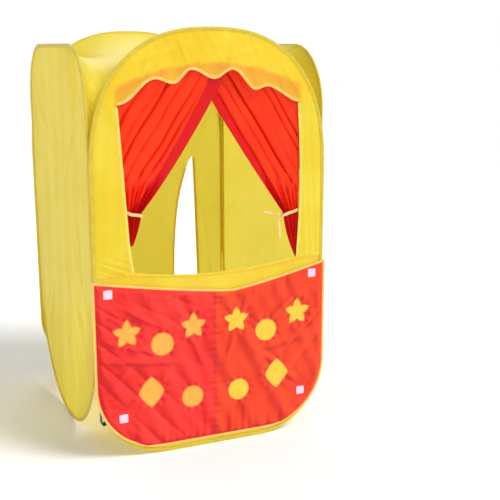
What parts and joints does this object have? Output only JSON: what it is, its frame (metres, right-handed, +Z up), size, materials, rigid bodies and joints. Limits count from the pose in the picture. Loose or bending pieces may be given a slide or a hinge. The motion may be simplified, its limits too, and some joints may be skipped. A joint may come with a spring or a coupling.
{
  "type": "puppet theater stand",
  "caption": "Tall pop-up cloth booth on sprung wire hoops, with a scalloped stage window, tied-back crossed curtains, a hook-and-loop sign below the sill and a slit door at the back.",
  "frame": {"origin": "on the floor, at the middle of the whole stand's footprint", "axes": "+X to the right as the audience sees it, +Y from the audience to the door at the back, +Z up"},
  "size_m": [0.7102, 0.8076, 1.2],
  "materials": {
    "yellow_cloth": "thin glossy woven polyester",
    "arch_cloth": "thin glossy woven polyester, deeper yellow",
    "binding_tape": "bright folded tape",
    "pale_tape": "pale folded tape",
    "curtain_cloth": "thin glossy woven polyester",
    "tie_tape": "flat ribbon",
    "sign_red": "thin satin cloth",
    "sign_orange": "thin satin cloth",
    "patch_pile": "hook-and-loop pile",
    "black_webbing": "flat elastic webbing",
    "spring_steel": "flat spring wire"
  },
  "bodies": {
    "front": {"front_binding": "binding_tape", "front_wire": "spring_steel", "front_ferrule": "spring_steel", "front_arch_panel": "arch_cloth", "front_left_strip": "yellow_cloth", "front_right_strip": "yellow_cloth", "front_lower_panel": "yellow_cloth", "scallop_piping": "pale_tape", "window_piping_left": "binding_tape", "window_piping_right": "binding_tape", "sill_hem": "arch_cloth", "hook_patch_top_left": "patch_pile", "hook_patch_top_right": "patch_pile", "hook_patch_bottom_left": "patch_pile", "hook_patch_bottom_right": "patch_pile", "front_left_seam": "binding_tape", "front_right_seam": "binding_tape", "curtain_left": "curtain_cloth", "curtain_right": "curtain_cloth", "tie_left": "tie_tape", "tie_right": "tie_tape", "tie_knot": "tie_tape", "tie_tail_side": "tie_tape", "tie_tail_down": "tie_tape", "roof_panel": "yellow_cloth", "storage_strap": "black_webbing"},
    "left_wall": {"left_binding": "binding_tape", "left_wire": "spring_steel", "left_ferrule": "spring_steel", "left_panel": "yellow_cloth"},
    "right_wall": {"right_binding": "binding_tape", "right_wire": "spring_steel", "right_ferrule": "spring_steel", "right_panel": "yellow_cloth"},
    "back_wall": {"back_binding": "binding_tape", "back_wire": "spring_steel", "back_ferrule": "spring_steel", "back_upper_panel": "yellow_cloth", "back_right_border": "yellow_cloth", "back_foot_strip": "yellow_cloth", "door_crease": "yellow_cloth", "back_left_seam": "binding_tape", "back_right_seam": "binding_tape"},
    "door_flap": {"door_flap": "yellow_cloth", "door_flap_hem": "binding_tape"},
    "sign": {"sign_left": "sign_red", "sign_right": "sign_orange", "sign_binding": "pale_tape", "sign_face_patch_top_left": "patch_pile", "sign_face_patch_top_right": "patch_pile", "sign_face_patch_bottom_left": "patch_pile", "sign_face_patch_bottom_right": "patch_pile", "sign_back_patch_top_left": "patch_pile", "sign_back_patch_top_right": "patch_pile", "sign_back_patch_bottom_left": "patch_pile", "sign_back_patch_bottom_right": "patch_pile"}
  },
  "joints": [
    {"name": "left_wall_fold", "type": "hinge", "parent": "front", "child": "left_wall", "pos_m": [-0.346, -0.38671, 0], "axis": [0, 0, 1], "range_deg": [-85, 85], "stiffness_Nm_per_rad": 1.5, "deforming": ["roof_panel", "curtain_left", "curtain_right", "tie_left", "tie_right", "tie_knot", "tie_tail_side", "tie_tail_down", "storage_strap"]},
    {"name": "right_wall_fold", "type": "hinge", "parent": "front", "child": "right_wall", "pos_m": [0.346, -0.38671, 0], "axis": [0, 0, 1], "range_deg": [-85, 85]},
    {"name": "back_wall_fold", "type": "hinge", "parent": "left_wall", "child": "back_wall", "pos_m": [-0.346, 0.39429, 0], "axis": [0, 0, 1], "range_deg": [-85, 85]},
    {"name": "door_flap_fold", "type": "hinge", "parent": "back_wall", "child": "door_flap", "pos_m": [-0.262, 0.40079, 0.095], "axis": [0.5947, 0, 0.8039], "range_deg": [0, 110]},
    {"name": "sign_pull", "type": "slide", "parent": "front", "child": "sign", "axis": [0, -1, 0], "range_m": [0, 0.25]}
  ],
  "couplings": [
    {"joint": "right_wall_fold", "follows": "left_wall_fold", "ratio": 1},
    {"joint": "back_wall_fold", "follows": "left_wall_fold", "ratio": -1}
  ]
}
